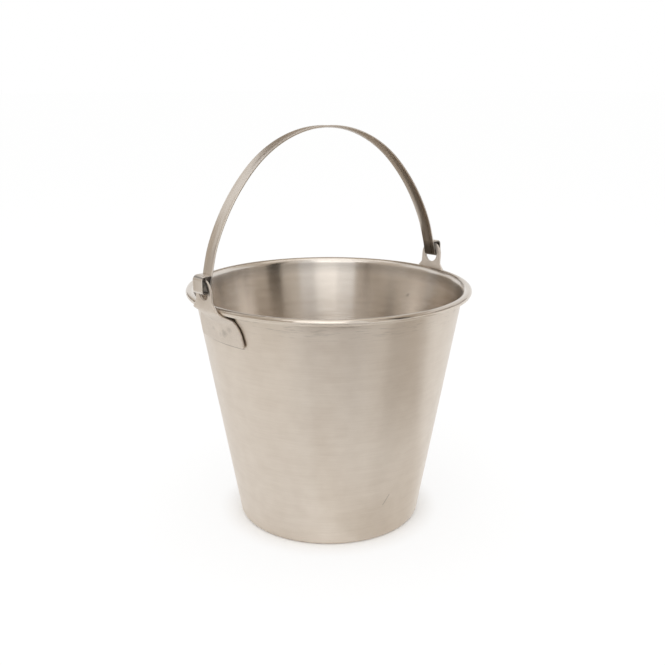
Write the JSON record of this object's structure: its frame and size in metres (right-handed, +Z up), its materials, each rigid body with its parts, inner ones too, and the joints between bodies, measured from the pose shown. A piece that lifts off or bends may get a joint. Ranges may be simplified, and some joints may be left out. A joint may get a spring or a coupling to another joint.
{
  "type": "pail",
  "caption": "Tapered stainless steel pail with a rolled rim, welded ears and an arched strip bail that swings over the mouth, for carrying water, feed or milk by hand.",
  "frame": {"origin": "middle of the base, on the surface that the pail stands on", "axes": "+Z up along the pail's axis; +X along the bail's hinge, from the left ear to the right ear; +Y square to both, the side that the upright bail leans to"},
  "size_m": [0.3296, 0.3099, 0.4314],
  "materials": {
    "shell": "satin stainless sheet with fine lines round the wall",
    "ear": "matte tumbled stainless plate",
    "weld": "spot weld metal, dull",
    "bail": "satin stainless strip with lines along it"
  },
  "bodies": {
    "pail": {"pail_body": "shell", "left_ear": "ear", "right_ear": "ear", "left_ear_welds": "weld", "right_ear_welds": "weld"},
    "bail": {"bail_handle": "bail"}
  },
  "joints": [
    {"name": "bail_swing", "type": "hinge", "parent": "pail", "child": "bail", "pos_m": [0, 0, 0.2764], "axis": [1, 0, 0], "range_deg": [-89.6, 94.4]}
  ]
}
